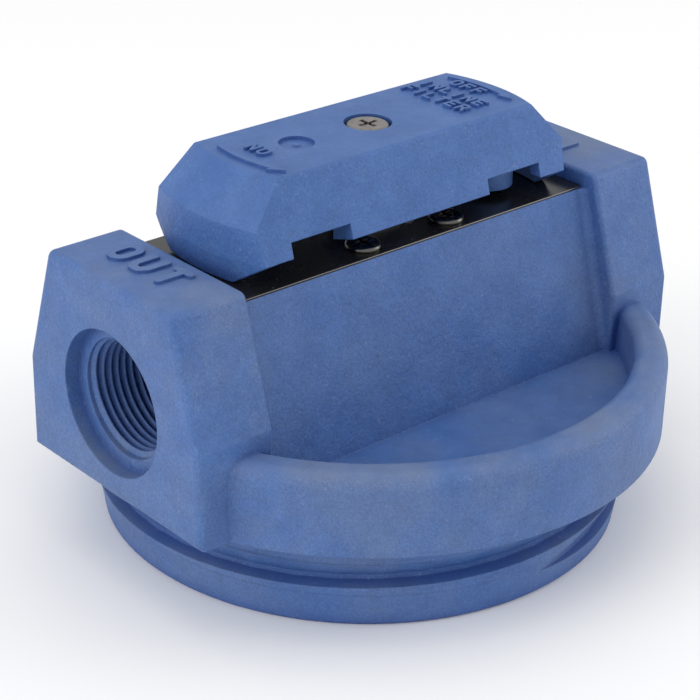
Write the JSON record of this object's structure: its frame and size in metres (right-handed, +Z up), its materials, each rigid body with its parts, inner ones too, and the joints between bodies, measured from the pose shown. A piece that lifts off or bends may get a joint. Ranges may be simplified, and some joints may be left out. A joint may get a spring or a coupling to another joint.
{
  "type": "valve-in-head filter housing head",
  "caption": "Round blue moulded filter head with two hexagonal pipe ports, pockets behind its rim, a coarse-threaded neck and a long quarter-turn valve handle over a black plate.",
  "frame": {"origin": "on the valve's axis, in the plane of the neck's lower end", "axes": "+X from the outlet port towards the inlet port, +Z up along the valve's axis, -Y out of the front pocket"},
  "size_m": [0.1394, 0.138, 0.0909],
  "materials": {
    "blue_body": "moulded, finely grained walls",
    "blue_handle": "moulded, satin",
    "black_plate": "smooth black steel with bright cut edges",
    "plate_screw_steel": "blackened steel",
    "stainless": "stainless",
    "brass": "turned",
    "white_acetal": "turned acetal",
    "seat_plastic": "smooth low-friction plastic",
    "rubber": "moulded"
  },
  "bodies": {
    "head": {"head_body": "blue_body", "cover_plate": "black_plate", "cover_plate_screws": "plate_screw_steel", "gland_bush": "white_acetal", "gland_o_ring": "rubber", "inlet_seat": "seat_plastic", "outlet_seat": "seat_plastic", "inlet_seat_o_ring": "rubber", "outlet_seat_o_ring": "rubber"},
    "valve": {"handle": "blue_handle", "handle_screw": "stainless", "stem_insert": "brass", "valve_rotor": "white_acetal", "thrust_washer": "white_acetal", "stem_o_ring_upper": "rubber", "stem_o_ring_lower": "rubber", "rotor_base_o_ring": "rubber"}
  },
  "joints": [
    {"name": "valve_turn", "type": "hinge", "parent": "head", "child": "valve", "pos_m": [0, 0, 0.0705], "axis": [0, 0, -1], "range_deg": [0, 90]}
  ]
}
